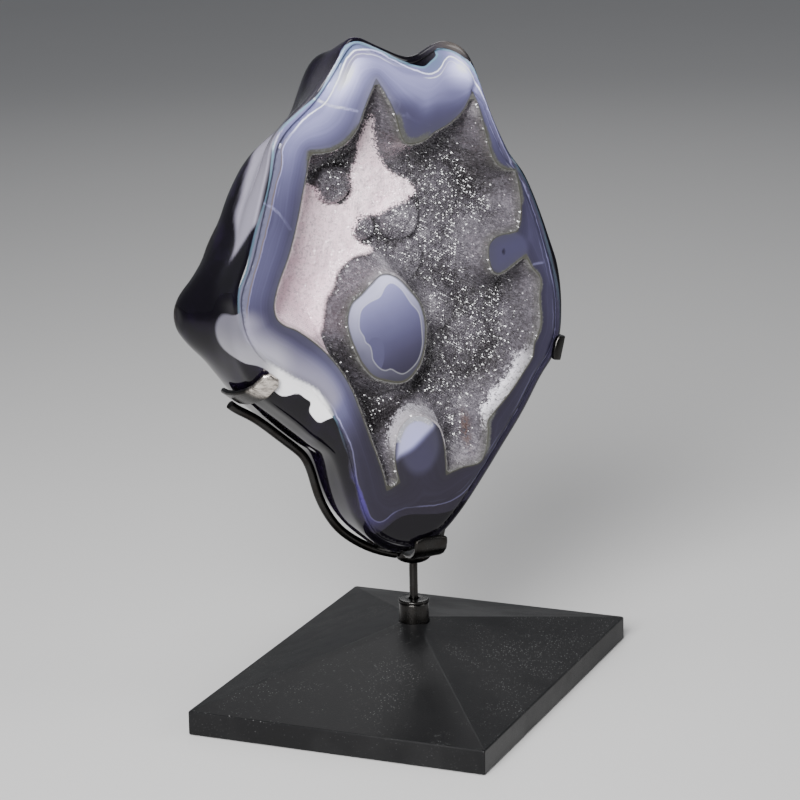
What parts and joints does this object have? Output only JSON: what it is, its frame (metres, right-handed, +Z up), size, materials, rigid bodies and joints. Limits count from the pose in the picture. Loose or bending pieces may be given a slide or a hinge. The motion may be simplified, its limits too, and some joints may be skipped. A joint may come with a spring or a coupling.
{
  "type": "agate geode on stand",
  "caption": "Half of a polished agate geode with a crystal-lined hollow, held by claws on a turning post over a black base with a low pyramid top.",
  "frame": {"origin": "centre of the base's underside, on the axis that the cradle turns about", "axes": "+Z up, -Y the way the geode's flat polished face looks, +X to the right of a viewer who looks at that face; the base stands turned 51 degrees clockwise about Z under it"},
  "size_m": [0.2992, 0.2902, 0.3924],
  "materials": {
    "black_painted_steel": "satin black with dust, fine scratches and chipped edges",
    "dark_polished_steel": "dark, polished",
    "polished_chalcedony": "polished, banded lavender and blue-grey, dark outer skin",
    "quartz_crystals": "clear to milky crystal points that sparkle"
  },
  "bodies": {
    "base": {"base": "black_painted_steel", "collar": "dark_polished_steel"},
    "cradle": {"post": "dark_polished_steel", "hub": "dark_polished_steel", "left_arm": "dark_polished_steel", "left_claw": "dark_polished_steel", "right_arm": "dark_polished_steel", "right_claw": "dark_polished_steel", "front_tongue": "dark_polished_steel", "agate": "polished_chalcedony", "crystal_crust": "quartz_crystals"}
  },
  "joints": [
    {"name": "cradle_swivel", "type": "hinge", "parent": "base", "child": "cradle", "pos_m": [0, 0, 0.054], "axis": [0, 0, 1], "continuous": true}
  ]
}
